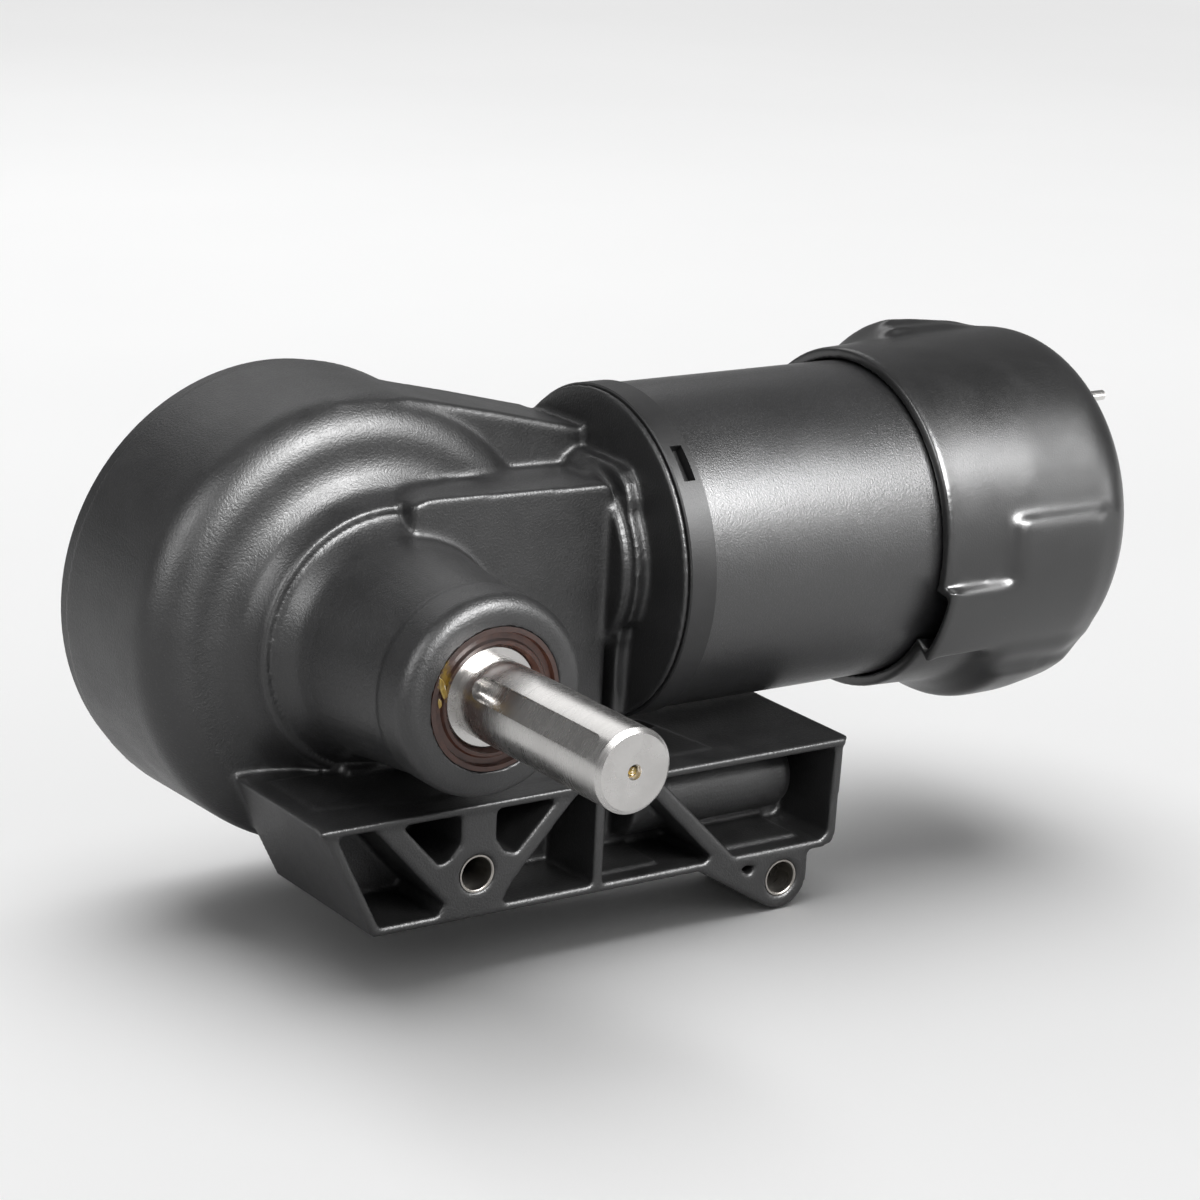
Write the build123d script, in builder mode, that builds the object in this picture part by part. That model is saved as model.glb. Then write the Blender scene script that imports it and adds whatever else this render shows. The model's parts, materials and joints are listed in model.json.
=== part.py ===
from build123d import *
import os
from math import pi, sin, cos, tan, acos, atan2, radians, degrees, sqrt, hypot

os.makedirs("parts", exist_ok=True)

# Two-stage worm and spur gearmotor.
# Frame: origin on the output shaft axis, in the outer face of the shaft seal.
# +X towards the motor, -Y out of the shaft end, +Z up. All sizes in mm.

# ---------------------------------------------------------------- driving sizes
shaft_d = 20.0          # free end of the output shaft
shaft_tip_y = -56.5     # end face of the shaft
shoulder_d = 25.0       # shaft diameter under the seal
shoulder_y = 2.2        # face of the shoulder
key_w = 6.0             # keyway width
key_angle = 145.0       # keyway direction around the shaft, from +X towards +Z
seal_od = 35.0
boss_r = 24.9           # front end of the shaft boss
boss_root_r = 28.6
step_r = 34.0           # raised step round the boss root
step_y = 50.0
drum_r = 58.7           # rear rim of the gear drum
drum_y1 = 106.3
motor_y, motor_z = 62.0, 12.0   # motor axis
flange_x = 68.0         # motor face of the gear housing
tube_r = 42.4
tube_x0, tube_x1 = 76.0, 160.0
foot_y0, foot_y1 = 16.6, 63.6
foot_top, foot_bot = -32.2, -61.4
m_spur, z_out, z_pin = 1.7, 40, 12
m_worm, z_wheel = 1.4, 32
mid_x, mid_z = 40.19, -18.40    # intermediate shaft axis, 44.2 from the output axis
worm_pitch = pi * m_worm
wheel_r = m_worm * z_wheel / 2
c = 0.03                # running and seating clearance on radius


def plane_y(y):
    return Plane(origin=(0, y, 0), x_dir=(1, 0, 0), z_dir=(0, -1, 0))


def plane_x(x):
    return Plane(origin=(x, 0, 0), x_dir=(0, 1, 0), z_dir=(1, 0, 0))


def disc_y(r, y0, y1, cx=0.0, cz=0.0, mode=Mode.ADD):
    """Cylinder along Y from y0 to y1."""
    with BuildSketch(plane_y(y1)) as profile:
        with Locations((cx, cz)):
            Circle(r)
    extrude(profile.sketch, amount=y1 - y0, mode=mode)


def disc_x(r, x0, x1, cy=motor_y, cz=motor_z, mode=Mode.ADD):
    """Cylinder along X from x0 to x1."""
    with BuildSketch(plane_x(x0)) as profile:
        with Locations((cy, cz)):
            Circle(r)
    extrude(profile.sketch, amount=x1 - x0, mode=mode)


def poly_y(pts, y0, y1, mode=Mode.ADD):
    """Outline in X and Z, extruded from y0 to y1."""
    with BuildSketch(plane_y(y1)) as profile:
        with BuildLine():
            Polyline(*pts, close=True)
        make_face()
    extrude(profile.sketch, amount=y1 - y0, mode=mode)


def poly_x(pts, x0, x1, mode=Mode.ADD):
    """Outline in Y and Z, extruded from x0 to x1."""
    with BuildSketch(plane_x(x0)) as profile:
        with BuildLine():
            Polyline(*pts, close=True)
        make_face()
    extrude(profile.sketch, amount=x1 - x0, mode=mode)


def turn_y(pts, cx=0.0, cz=0.0, mode=Mode.ADD):
    """Body of revolution about a line along Y, from (radius, y) points."""
    with BuildSketch(Plane(origin=(cx, 0, cz), x_dir=(1, 0, 0), z_dir=(0, 0, 1))) as profile:
        with BuildLine():
            Polyline(*pts, close=True)
        make_face()
    revolve(profile.sketch, axis=Axis((cx, 0, cz), (0, 1, 0)), mode=mode)


def turn_x(pts, cy=motor_y, cz=motor_z, mode=Mode.ADD):
    """Body of revolution about a line along X, from (x, radius) points."""
    with BuildSketch(Plane(origin=(0, cy, cz), x_dir=(1, 0, 0), z_dir=(0, -1, 0))) as profile:
        with BuildLine():
            Polyline(*pts, close=True)
        make_face()
    revolve(profile.sketch, axis=Axis((0, cy, cz), (1, 0, 0)), mode=mode)


def arc_pts(cx, cy, r, a0, a1, n=6):
    return [(cx + r * cos(radians(a0 + (a1 - a0) * i / n)), cy + r * sin(radians(a0 + (a1 - a0) * i / n))) for i in range(n + 1)]


def gear_outline(z, m, add, ded, backlash, phase_deg, undercut=0.0):
    """Involute tooth outline, 20 degree pressure angle, tooth centred on phase_deg."""
    rp = m * z / 2
    rb = rp * cos(radians(20))
    ra, rr = rp + add * m, rp - ded * m
    inv = lambda a: tan(a) - a
    half = (pi * m / 2 - backlash) / 2 / rp + inv(radians(20))
    psi = lambda r: half - (inv(acos(rb / r)) if r > rb else 0.0)
    lo = max(rb, rr)
    rs = [lo + (ra - lo) * k / 4 for k in range(5)]
    pts = []
    for i in range(z):
        t0 = radians(phase_deg) + 2 * pi * i / z
        left = [(rr, psi(lo) - undercut)] if rr < rb else []
        left += [(r, psi(r)) for r in rs]
        for r, a in left:
            pts.append((r * cos(t0 - a), r * sin(t0 - a)))
        for r, a in reversed(left):
            pts.append((r * cos(t0 + a), r * sin(t0 + a)))
    return pts


def save(builder, name):
    builder.part.label = name
    export_step(builder.part, "parts/" + name + ".step")


# ================================================================ gear housing
# Drum and shaft boss as one turned profile (radius, y).
boss_profile = (
    [(0, 0.0), (seal_od / 2 + 2.6, 0.0)]
    + arc_pts(boss_r - 4.4, 4.4, 4.4, -80, 0, 6)
    + [(boss_r, 12.0), (boss_r - 0.5, 13.4), (boss_r - 0.3, 15.0), (boss_root_r - 1.4, 40.0)]
    + [(boss_root_r - 0.6, 44.5), (boss_root_r + 1.2, 48.0), (step_r - 2.4, 50.6), (step_r - 1.0, step_y), (step_r, step_y + 0.4),
       (step_r + 0.8, 53.0), (step_r + 2.6, 56.5), (step_r + 6.5, 59.2), (44.0, 60.2)]
    + arc_pts(46.4, 71.6, 11.4, -82, -4, 7)
    + [(drum_r, drum_y1), (0, drum_y1)]
)

with BuildPart() as gear_housing:
    turn_y(boss_profile)
    # flank that runs from the drum to the motor flange
    with BuildSketch(plane_y(94.0)):
        with BuildLine():
            Polyline((-6, 57.0), (14, 56.2), (40, 50.2), (flange_x - 3, 44.0), (flange_x - 3, -31.5), (44, -46.5), (20, -50.0), (-6, -50.0), close=True)
        make_face()
    extrude(amount=94.0 - 66.0)
    # round tower of the intermediate shaft at the back
    disc_y(17.6, 70.0, drum_y1, mid_x, mid_z)
    # worm housing block in front of it, a second level lower than the flank
    poly_y([(3.0, 35.2), (8, 36.6), (flange_x - 8.6, 34.8), (flange_x - 7, 33.2), (flange_x - 7, -33), (3.0, -33)], 44.0, 54.0)
    poly_y([(3.0, 35.2), (8, 36.6), (flange_x - 5, 34.6), (flange_x - 3, 33), (flange_x - 3, -33), (3.0, -33)], 51.0, 70.0)
    # gear well under the worm, behind the foot
    poly_y([(-12, -30), (flange_x - 2, -30), (flange_x - 2, -44), (58, -47.5), (-4, -50)], 46.0, 90.0)
    # round shoulder of the worm bore, showing as a crescent beside the block
    disc_x(25.2, flange_x - 8, flange_x - 2)
    # screw flange with a wavy outline, and the flat round motor face behind it
    poly_x([(84.8, 44.3), (79.1, 43.5), (75.5, 40.6), (72.7, 39.2), (65.7, 38.6), (56.6, 38.8), (47.7, 38.6), (44.2, 37.6), (41.4, 35.0), (39.9, 31.4)]
           + arc_pts(motor_y, motor_z, 27.4, 146, 205, 9)
           + [(40.6, -2.2), (41.9, -8.5), (42.3, -25.1), (44.5, -29.8), (84.0, -29.8), (93.0, -10.0), (95.0, 12.0), (94.0, 34.0), (90.0, 42.6)],
           flange_x - 5.5, flange_x - 1.2)
    turn_x([(flange_x - 1.6, 0), (flange_x - 1.6, 42.2), (flange_x - 1.2, 42.7), (flange_x - 0.4, 42.7), (flange_x, 42.3), (flange_x, 0)])
    # foot: slanted left end, square right end
    poly_y([(-34.6, foot_top), (-35.8, foot_top - 0.4), (-21.6, foot_bot + 0.3), (-20.4, foot_bot), (113.4, foot_bot), (116.2, foot_bot + 0.9),
            (117.2, foot_bot + 3.4), (118.2, foot_top - 1.0), (118.2, foot_top)], foot_y0, foot_y1)
    # top plate with its overhanging lip
    with BuildSketch(Plane.XY.offset(foot_top - 1.6)):
        with BuildLine():
            Polyline((-36.4, foot_y0 - 0.4), (118.0, foot_y0 - 0.4), (120.2, foot_y0 + 1.8), (120.4, foot_y1 - 1), (118, foot_y1), (-32.0, foot_y1), (-32.0, 34.0), close=True)
        make_face()
    extrude(amount=1.6)
    # shallow raised pad on the plate, with a small slot beside its end
    with BuildSketch(Plane.XY.offset(foot_top - 0.2)):
        with BuildLine():
            Polyline((-30.0, 30.4), (-2.0, 24.4), (81.3, 25.0), (79.0, 43.9), (77.4, 52.0), (-30.0, 52.0), close=True)
        make_face()
    extrude(amount=0.75)
    with BuildSketch(Plane.XY.offset(foot_top + 1.0)):
        with BuildLine():
            Polyline((75.6, 44.8), (78.0, 44.8), (77.0, 50.8), (74.8, 50.8), close=True)
        make_face()
    extrude(amount=-2.0, mode=Mode.SUBTRACT)
    # ear below the foot on the motor side
    ear_x, ear_z, ear_r = 100.2, -67.6, 8.3
    poly_y([(73.6, foot_bot + 0.2), (96.6, ear_z - 7.6)] + arc_pts(ear_x, ear_z, ear_r, -112, 0, 9) + [(ear_x + ear_r, foot_bot + 0.2)], foot_y0, foot_y0 + 30.0)

    # ---- pockets of the foot, open to the front
    pk0, pk1 = foot_y0 - 1.0, foot_y0 + 21.0
    hx, hz = 7.4, -50.2            # sleeve hole of the foot
    poly_y([(-31.6, -34.6), (-21.4, -34.6), (-1.4, -56.6), (-3.2, -59.2), (-19.6, -59.2)], pk0, pk1, mode=Mode.SUBTRACT)
    poly_y([(-14.0, -34.6), (2.6, -34.6), (2.6, -42.0), (-0.4, -45.2), (-3.4, -46.2)], pk0, pk1, mode=Mode.SUBTRACT)
    poly_y([(12.6, -34.6), (30.0, -34.6), (18.6, -46.6), (15.2, -45.6), (12.6, -42.0)], pk0, pk1, mode=Mode.SUBTRACT)
    poly_y([(35.6, -34.6), (41.4, -34.6), (41.4, -59.2), (14.8, -59.2), (17.6, -54.0)], pk0, pk1, mode=Mode.SUBTRACT)
    poly_y([(44.2, -34.6), (54.6, -34.6), (77.4, -57.8), (76.0, -59.2), (44.2, -59.2)], pk0, pk1, mode=Mode.SUBTRACT)
    poly_y([(60.4, -34.6), (115.6, -34.6), (114.6, -57.4), (112.6, -59.2), (85.0, -59.2)], pk0, pk1, mode=Mode.SUBTRACT)
    # small three-sided pocket between the ear and the foot
    poly_y([(86.4, -62.6), (91.6, -62.6), (90.4, -65.4)], pk0, foot_y0 + 16.0, mode=Mode.SUBTRACT)
    # lightening behind the pockets, open to the rear on the motor side
    poly_y([(70.0, -35.0), (115.4, -35.0), (114.4, -59.0), (70.0, -59.0)], 52.0, foot_y1 + 1, mode=Mode.SUBTRACT)
    # worm-side bulge and ledge inside the long pockets
    turn_x([(60.0, 0), (60.0, 10.0), (108.4, 9.6), (110.4, 8.6), (111.4, 6.0), (111.4, 0)], cy=37.0, cz=-45.6)
    poly_y([(45.0, -58.4), (64.0, -58.4), (64.0, -59.6), (45.0, -59.6)], 22.0, 39.0)
    poly_y([(84.0, -58.2), (108.0, -58.2), (108.0, -59.6), (84.0, -59.6)], 22.0, 39.0)
    # sleeve bores
    disc_y(4.83, foot_y0 - 1, foot_y0 + 30, hx, hz, mode=Mode.SUBTRACT)
    disc_y(4.83, foot_y0 - 1, foot_y0 + 31, ear_x, ear_z, mode=Mode.SUBTRACT)

    # ---- inside of the gear case
    disc_y(seal_od / 2 + c, -1.0, 7.2, mode=Mode.SUBTRACT)
    disc_y(16.6, 6.0, 9.5, mode=Mode.SUBTRACT)
    disc_y(21.0 + c, 9.0, 76.0, mode=Mode.SUBTRACT)
    disc_y(49.0, 73.5, drum_y1 + 1, mode=Mode.SUBTRACT)
    disc_y(25.0, 55.0, 75.0, mid_x, mid_z, mode=Mode.SUBTRACT)
    disc_y(13.6, 73.0, drum_y1 + 1, mid_x, mid_z, mode=Mode.SUBTRACT)
    disc_y(8.0 + c, 46.5, 56.0, mid_x, mid_z, mode=Mode.SUBTRACT)
    disc_x(10.6, 19.7, flange_x + 1, mode=Mode.SUBTRACT)
    disc_x(8.0 + c, 14.2, 20.0, mode=Mode.SUBTRACT)
    # cover screw holes and adapter screw holes
    with BuildSketch(plane_y(drum_y1)):
        with PolarLocations(52.4, 7, start_angle=22, angular_range=360 * 6 / 7 * 0.93):
            Circle(2.15)
    extrude(amount=12.0, mode=Mode.SUBTRACT)
    with BuildSketch(plane_x(flange_x)):
        with Locations((motor_y, motor_z)):
            with PolarLocations(24.0, 4, start_angle=45):
                Circle(2.15)
    extrude(amount=-5.0, mode=Mode.SUBTRACT)
save(gear_housing, "gear_housing")

# ---------------------------------------------------------------- rear cover
screw_ang = [22 + i * (360 * 6 / 7 * 0.93) / 7 for i in range(7)]
lobe_r = 17.6


def cover_outline():
    Circle(drum_r - 0.9)
    with Locations((mid_x, mid_z)):
        Circle(lobe_r)


with BuildPart() as rear_cover:
    with BuildSketch(plane_y(drum_y1 + 4.6)):
        cover_outline()
    extrude(amount=3.8)
    disc_y(25.5, 94.6, drum_y1 + 1.5)
    disc_y(12.6, 96.6, drum_y1 + 1.5, mid_x, mid_z)
    disc_y(27.0, drum_y1 + 4.0, drum_y1 + 7.0)
    disc_y(21.0 + c, 94.0, 107.4, mode=Mode.SUBTRACT)
    disc_y(8.0 + c, 96.0, 106.5, mid_x, mid_z, mode=Mode.SUBTRACT)
    with BuildSketch(plane_y(drum_y1 + 6)):
        with PolarLocations(52.4, 7, start_angle=22, angular_range=360 * 6 / 7 * 0.93):
            Circle(2.7)
    extrude(amount=8.0, mode=Mode.SUBTRACT)
    # stiffening ribs on the back
    with BuildSketch(plane_y(drum_y1 + 6.0)):
        with PolarLocations(37.5, 8, start_angle=0):
            Rectangle(22.0, 2.2)
    extrude(amount=2.0)
save(rear_cover, "rear_cover")

with BuildPart() as cover_gasket:
    with BuildSketch(plane_y(drum_y1 + 0.8)):
        cover_outline()
        Circle(49.1, mode=Mode.SUBTRACT)
        with Locations((mid_x, mid_z)):
            Circle(14.0, mode=Mode.SUBTRACT)
        with PolarLocations(52.4, 7, start_angle=22, angular_range=360 * 6 / 7 * 0.93):
            Circle(2.7, mode=Mode.SUBTRACT)
    extrude(amount=0.8)
save(cover_gasket, "cover_gasket")


with BuildPart() as cover_screws:
    with BuildSketch(plane_y(drum_y1 + 4.6)):
        with PolarLocations(52.4, 7, start_angle=22, angular_range=360 * 6 / 7 * 0.93):
            Circle(2.1)
    extrude(amount=14.0)
    with BuildSketch(plane_y(drum_y1 + 7.6)):
        with PolarLocations(52.4, 7, start_angle=22, angular_range=360 * 6 / 7 * 0.93):
            Circle(3.2)
    extrude(amount=3.0)
    with BuildSketch(plane_y(drum_y1 + 7.6)):
        with PolarLocations(52.4, 7, start_angle=22, angular_range=360 * 6 / 7 * 0.93):
            RegularPolygon(1.7, 6)
    extrude(amount=1.8, mode=Mode.SUBTRACT)
save(cover_screws, "cover_screws")

# ---------------------------------------------------------------- sleeves
with BuildPart() as foot_sleeve:
    turn_y([(4.2, foot_y0 + 0.5), (4.4, foot_y0 + 0.3), (4.8, foot_y0 + 0.3), (4.8, foot_y0 + 29.6), (4.2, foot_y0 + 29.6)], hx, hz)
save(foot_sleeve, "foot_sleeve")

with BuildPart() as ear_sleeve:
    turn_y([(4.2, foot_y0 + 0.5), (4.4, foot_y0 + 0.3), (4.8, foot_y0 + 0.3), (4.8, foot_y0 + 29.8), (4.2, foot_y0 + 29.8)], ear_x, ear_z)
save(ear_sleeve, "ear_sleeve")

# ================================================================ output shaft group
with BuildPart() as output_shaft:
    turn_y([(0, shaft_tip_y), (shaft_d / 2 - 1.1, shaft_tip_y), (shaft_d / 2, shaft_tip_y + 1.1), (shaft_d / 2, shoulder_y),
            (shoulder_d / 2 - 0.5, shoulder_y), (shoulder_d / 2, shoulder_y + 0.5), (shoulder_d / 2, 75.0), (14.0, 75.0),
            (14.0, 92.6), (10.0, 92.6), (10.0, 106.2), (0, 106.2)])
    # centre drill in the end face
    turn_y([(0, shaft_tip_y - 0.5), (1.95, shaft_tip_y - 0.5), (1.65, shaft_tip_y + 0.6), (1.0, shaft_tip_y + 1.8), (1.0, shaft_tip_y + 5.0), (0, shaft_tip_y + 5.6)], mode=Mode.SUBTRACT)
    # keyway of the free end, closed and round at both ends
    with BuildSketch(Plane(origin=(10 * cos(radians(key_angle)), 0, 10 * sin(radians(key_angle))), x_dir=(0, 1, 0),
                           z_dir=(cos(radians(key_angle)), 0, sin(radians(key_angle))))):
        with Locations((-28.0, 0)):
            SlotOverall(50.0, key_w)
    extrude(amount=-3.5, mode=Mode.SUBTRACT)
    # seat of the gear key
    with BuildSketch(Plane(origin=(0, 0, 14.0), x_dir=(0, 1, 0), z_dir=(0, 0, 1))):
        with Locations((84.0, 0)):
            SlotOverall(14.0, 5.0)
    extrude(amount=-3.0, mode=Mode.SUBTRACT)
    # ring grooves
    turn_y([(9.4, 93.0), (10.5, 93.0), (10.5, 94.2), (9.4, 94.2)], mode=Mode.SUBTRACT)
save(output_shaft, "output_shaft")

out_phase = degrees(atan2(mid_z, mid_x))
with BuildPart() as output_gear:
    with BuildSketch(plane_y(92.0)):
        with BuildLine():
            Polyline(*gear_outline(z_out, m_spur, 0.74, 1.2, 0.25, out_phase), close=True)
        make_face()
        Circle(14.0 + c, mode=Mode.SUBTRACT)
    extrude(amount=16.0)
    turn_y([(17.5, 75.0), (30.0, 75.0), (30.0, 79.5), (17.5, 79.5)], mode=Mode.SUBTRACT)
    turn_y([(17.5, 93.0), (30.0, 93.0), (30.0, 88.5), (17.5, 88.5)], mode=Mode.SUBTRACT)
    with BuildSketch(plane_y(92.0)):
        with Locations((0, 14.0)):
            Rectangle(5.04, 5.2)
    extrude(amount=16.0, mode=Mode.SUBTRACT)
save(output_gear, "output_gear")

with BuildPart() as gear_key:
    with BuildSketch(Plane(origin=(0, 0, 11.04), x_dir=(0, 1, 0), z_dir=(0, 0, 1))):
        with Locations((84.0, 0)):
            SlotOverall(13.9, 4.94)
    extrude(amount=5.3)
save(gear_key, "gear_key")

with BuildPart() as retaining_ring:
    turn_y([(9.45, 93.1), (12.2, 93.1), (12.2, 94.1), (9.45, 94.1)])
save(retaining_ring, "retaining_ring")

with BuildPart() as gear_spacer:
    turn_y([(12.5 + c, 19.2), (15.0, 19.2), (15.0, 74.9), (12.5 + c, 74.9)])
save(gear_spacer, "gear_spacer")

# ---------------------------------------------------------------- bearings along Y
def race_y(r0, r1, y0, y1, groove_r, groove_side):
    ym = (y0 + y1) / 2
    g = groove_r
    if groove_side == "out":
        pts = [(r0, y0), (r1, y0), (r1, ym - g * 0.8), (r1 - g * 0.45, ym), (r1, ym + g * 0.8), (r1, y1), (r0, y1)]
    else:
        pts = [(r1, y0), (r0, y0), (r0, ym - g * 0.8), (r0 + g * 0.45, ym), (r0, ym + g * 0.8), (r0, y1), (r1, y1)]
    turn_y(pts)


def balls_y(r_path, y, r_ball, n):
    with Locations(*[(r_path * cos(2 * pi * i / n), y, r_path * sin(2 * pi * i / n)) for i in range(n)]):
        Sphere(r_ball)


with BuildPart() as front_bearing_inner:
    race_y(12.5 + c, 14.9, 9.8, 18.8, 2.0, "out")
save(front_bearing_inner, "front_bearing_inner")
with BuildPart() as front_bearing_outer:
    race_y(18.6, 21.0, 9.8, 18.8, 2.0, "in")
save(front_bearing_outer, "front_bearing_outer")
with BuildPart() as front_bearing_balls:
    balls_y(16.75, 14.3, 2.0, 14)
save(front_bearing_balls, "front_bearing_balls")
with BuildPart() as rear_bearing_inner:
    race_y(10.0 + c, 13.4, 95.0, 106.0, 2.6, "out")
save(rear_bearing_inner, "rear_bearing_inner")
with BuildPart() as rear_bearing_outer:
    race_y(17.8, 21.0, 95.0, 106.0, 2.6, "in")
save(rear_bearing_outer, "rear_bearing_outer")
with BuildPart() as rear_bearing_balls:
    balls_y(15.6, 100.5, 2.4, 12)
save(rear_bearing_balls, "rear_bearing_balls")

# ---------------------------------------------------------------- shaft seal
with BuildPart() as output_seal:
    turn_y([(shoulder_d / 2 + 0.05, 2.6), (shoulder_d / 2 + 0.7, 0.6), (shoulder_d / 2 + 1.5, 0.6), (shoulder_d / 2 + 2.0, 1.3),
            (seal_od / 2 - 1.6, 1.3), (seal_od / 2 - 1.2, 0.05), (seal_od / 2, 0.25), (seal_od / 2, 7.0), (seal_od / 2 - 1.0, 7.0),
            (seal_od / 2 - 1.0, 3.2), (shoulder_d / 2 + 2.6, 3.2), (shoulder_d / 2 + 2.2, 6.0), (shoulder_d / 2 + 0.05, 5.4)])
save(output_seal, "output_seal")

# ================================================================ intermediate shaft group
with BuildPart() as intermediate_shaft:
    turn_y([(0, 47.4), (5.0, 47.4), (5.0, 56.4), (7.0, 56.4), (7.0, 94.8), (5.0, 94.8), (5.0, 105.6), (0, 105.6)], mid_x, mid_z)
save(intermediate_shaft, "intermediate_shaft")

with BuildPart() as spur_pinion:
    pin_phase = out_phase + 180 + 180 / z_pin
    pts = [(mid_x + px, mid_z + pz) for px, pz in gear_outline(z_pin, m_spur, 0.86, 1.2, 0.25, pin_phase, undercut=0.03)]
    poly_y(pts, 74.6, 93.4)
    disc_y(7.0 + c, 73.0, 95.0, mid_x, mid_z, mode=Mode.SUBTRACT)
save(spur_pinion, "spur_pinion")

lead_angle = atan2(worm_pitch, 2 * pi * 8.0)
half_face = 5.5


def wheel_outline(shift):
    """Worm wheel tooth outline, turned by the helix shift (angle about +Y)."""
    pts = []
    r_list = [(20.6, 0.95 + 1.8 * tan(radians(20))), (23.5, 0.95 - 1.1 * tan(radians(20)))]
    for i in range(z_wheel):
        t0 = pi / 2 - shift + 2 * pi * i / z_wheel
        for r, h in r_list:
            pts.append((mid_x + r * cos(t0 - h / r), mid_z + r * sin(t0 - h / r)))
        for r, h in reversed(r_list):
            pts.append((mid_x + r * cos(t0 + h / r), mid_z + r * sin(t0 + h / r)))
    return pts


with BuildPart() as worm_wheel:
    for yy in (motor_y + half_face, motor_y - half_face):
        with BuildSketch(plane_y(yy)):
            with BuildLine():
                Polyline(*wheel_outline((yy - motor_y) * tan(lead_angle) / wheel_r), close=True)
            make_face()
    loft(ruled=True)
    disc_y(11.0, motor_y - 5.6, 74.0, mid_x, mid_z)
    disc_y(7.0 + c, motor_y - 8, 75.0, mid_x, mid_z, mode=Mode.SUBTRACT)
save(worm_wheel, "worm_wheel")

with BuildPart() as front_bush:
    turn_y([(5.0 + c, 47.0), (8.0, 47.0), (8.0, 55.4), (5.0 + c, 55.4)], mid_x, mid_z)
save(front_bush, "intermediate_bush_front")
with BuildPart() as rear_bush:
    turn_y([(5.0 + c, 96.9), (8.0, 96.9), (8.0, 106.0), (5.0 + c, 106.0)], mid_x, mid_z)
save(rear_bush, "intermediate_bush_rear")

# ================================================================ motor rotor
thread_turns = 8
thread_x0 = mid_x - thread_turns / 2 * worm_pitch    # thread gap stands over the wheel's top tooth
with BuildPart() as worm:
    with BuildLine() as thread_path:
        Helix(pitch=worm_pitch, height=worm_pitch * thread_turns, radius=8.0, center=(thread_x0, motor_y, motor_z), direction=(1, 0, 0))
    with BuildSketch(Plane(origin=(thread_x0, motor_y, motor_z + 8.0), x_dir=(0, 0, 1), z_dir=(sin(lead_angle), -cos(lead_angle), 0))):
        with BuildLine():
            t20 = tan(radians(20))
            Polyline((-1.8, -(0.85 + 1.8 * t20)), (1.2, -(0.85 - 1.2 * t20)), (1.2, 0.85 - 1.2 * t20), (-1.8, 0.85 + 1.8 * t20), close=True)
        make_face()
    sweep(path=thread_path.line, is_frenet=True)
    disc_x(6.5, thread_x0 - 1.8, thread_x0 + thread_turns * worm_pitch + 1.8)
    disc_x(4.5 + c, 18.0, 70.0, mode=Mode.SUBTRACT)
save(worm, "worm")

with BuildPart() as armature_shaft:
    turn_x([(14.8, 0), (14.8, 4.5), (62.6, 4.5), (62.6, 6.0), (69.4, 6.0), (78.4, 6.0), (78.4, 8.0), (168.0, 8.0), (168.0, 5.0), (202.0, 5.0), (202.0, 0)])
save(armature_shaft, "armature_shaft")

with BuildPart() as worm_bush:
    turn_x([(14.5, 4.5 + c), (14.5, 8.0), (19.6, 8.0), (19.6, 4.5 + c)])
save(worm_bush, "worm_bush")


def race_x(r0, r1, x0, x1, g, side):
    xm = (x0 + x1) / 2
    if side == "out":
        turn_x([(x0, r0), (x0, r1), (xm - g * 0.8, r1), (xm, r1 - g * 0.45), (xm + g * 0.8, r1), (x1, r1), (x1, r0)])
    else:
        turn_x([(x0, r1), (x0, r0), (xm - g * 0.8, r0), (xm, r0 + g * 0.45), (xm + g * 0.8, r0), (x1, r0), (x1, r1)])


def balls_x(r_path, x, r_ball, n):
    with Locations(*[(x, motor_y + r_path * cos(2 * pi * i / n), motor_z + r_path * sin(2 * pi * i / n)) for i in range(n)]):
        Sphere(r_ball)


with BuildPart() as motor_bearing_inner:
    race_x(6.0 + c, 8.6, 69.8, 77.8, 1.8, "out")
    race_x(5.0 + c, 7.6, 171.0, 179.0, 1.8, "out")
save(motor_bearing_inner, "motor_bearing_inner")
with BuildPart() as motor_bearing_outer:
    race_x(11.6, 14.0, 69.8, 77.8, 1.8, "in")
    race_x(10.6, 13.0, 171.0, 179.0, 1.8, "in")
save(motor_bearing_outer, "motor_bearing_outer")
with BuildPart() as motor_bearing_balls:
    balls_x(10.1, 73.8, 1.65, 9)
    balls_x(9.1, 175.0, 1.65, 8)
save(motor_bearing_balls, "motor_bearing_balls")

with BuildPart() as armature_core:
    with BuildSketch(plane_x(88.0)):
        with Locations((motor_y, motor_z)):
            Circle(33.2)
            Circle(8.0 + c, mode=Mode.SUBTRACT)
            with PolarLocations(25.0, 14):
                Rectangle(12.0, 4.4, mode=Mode.SUBTRACT)
            with PolarLocations(32.6, 14):
                Rectangle(4.0, 1.8, mode=Mode.SUBTRACT)
    extrude(amount=48.0)
save(armature_core, "armature_core")

with BuildPart() as armature_windings:
    with BuildSketch(plane_x(84.0)):
        with Locations((motor_y, motor_z)):
            with PolarLocations(25.0, 14):
                Rectangle(11.4, 3.8)
    extrude(amount=56.0)
    turn_x([(80.5, 12.0), (81.5, 11.0), (87.8, 11.0), (87.8, 31.0), (83.0, 31.4), (80.5, 28.0)])
    turn_x([(136.2, 11.0), (142.5, 11.0), (144.5, 13.0), (144.5, 27.0), (141.0, 31.0), (136.2, 31.4)])
save(armature_windings, "armature_windings")

with BuildPart() as commutator:
    with BuildSketch(plane_x(147.0)):
        with Locations((motor_y, motor_z)):
            Circle(14.0)
            Circle(8.0 + c, mode=Mode.SUBTRACT)
            with PolarLocations(13.6, 14):
                Rectangle(1.6, 0.7, mode=Mode.SUBTRACT)
    extrude(amount=15.0)
save(commutator, "commutator")

with BuildPart() as brake_disc:
    turn_x([(184.0, 5.0 + c), (184.0, 10.0), (185.2, 10.0), (185.2, 26.0), (188.2, 26.0), (188.2, 10.0), (189.4, 10.0), (189.4, 5.0 + c)])
save(brake_disc, "brake_disc")

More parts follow.
